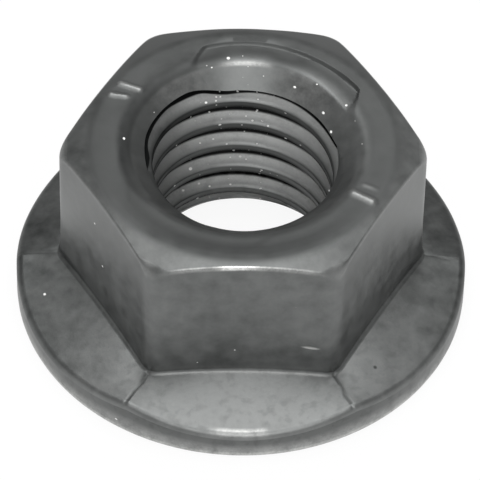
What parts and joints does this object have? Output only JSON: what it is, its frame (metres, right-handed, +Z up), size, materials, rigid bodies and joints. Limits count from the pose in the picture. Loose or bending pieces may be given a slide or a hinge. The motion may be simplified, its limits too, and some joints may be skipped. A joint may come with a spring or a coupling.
{
  "type": "hexagon flange nut",
  "caption": "Forged steel hexagon nut with a sloping flange, a right-hand metric thread and a pressed-down, gripping rim at the top of the hole.",
  "frame": {"origin": "centre of the bearing face, on the thread axis", "axes": "+Z up the thread axis, from the bearing face to the top face; two of the six flats face -Y and +Y"},
  "size_m": [0.0212, 0.0212, 0.0101],
  "materials": {
    "phosphated_steel": "dark grey phosphate coating, satin"
  },
  "bodies": {
    "root": {"flange_nut": "phosphated_steel"}
  },
  "joints": []
}
